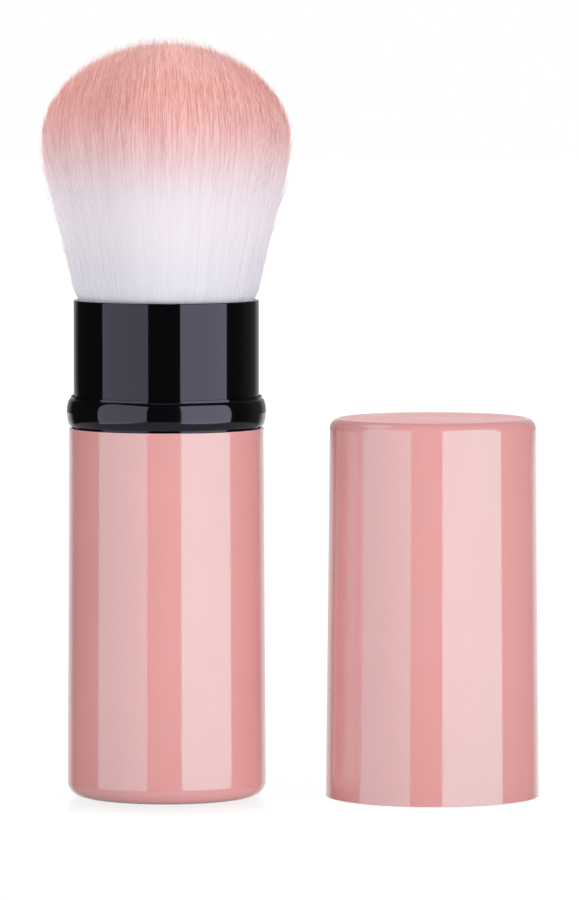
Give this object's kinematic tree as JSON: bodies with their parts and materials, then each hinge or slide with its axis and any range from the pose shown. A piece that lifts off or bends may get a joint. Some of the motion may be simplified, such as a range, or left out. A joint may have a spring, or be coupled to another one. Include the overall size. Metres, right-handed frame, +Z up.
{
  "type": "retractable makeup brush",
  "caption": "Retractable makeup brush: a sliding sleeve bares or gathers a domed tuft of soft bristles over a round base, with its cylindrical cap standing beside it.",
  "frame": {"origin": "centre of the base's underside, on the brush's axis, on the surface that the brush stands on", "axes": "+Z up along the brush's axis, towards the bristles; +X from the brush towards its cap; -Y faces the viewer"},
  "size_m": [0.0763, 0.0382, 0.1156],
  "materials": {
    "pink_lacquer": "gloss",
    "black_moulding": "satin",
    "white_moulding": "satin",
    "black_rubber": "matte",
    "bare_aluminium": "satin",
    "steel": "satin",
    "epoxy": "satin",
    "nylon": "matte",
    "black_lacquer": "gloss",
    "black_gloss": "gloss"
  },
  "bodies": {
    "base": {"base_shell": "pink_lacquer", "foot_plug": "black_moulding", "post": "white_moulding", "bristle_holder": "black_moulding", "centring_ring": "black_rubber", "bristle_cup": "bare_aluminium", "holder_screw": "steel", "glue_bed": "epoxy", "bristle_tuft": "nylon"},
    "sleeve": {"sleeve_tube": "black_lacquer", "grip_ring": "black_gloss", "guide_bush": "white_moulding", "friction_ring": "black_rubber"},
    "cap": {"cap_shell": "pink_lacquer", "cap_insert": "white_moulding"}
  },
  "joints": [
    {"name": "sleeve_slide", "type": "slide", "parent": "base", "child": "sleeve", "axis": [0, 0, 1], "range_m": [0, 0.036], "deforming": ["bristle_tuft"]},
    {"name": "cap_lift", "type": "slide", "parent": "base", "child": "cap", "axis": [0, 0, 1], "range_m": [0, 0.06]}
  ]
}
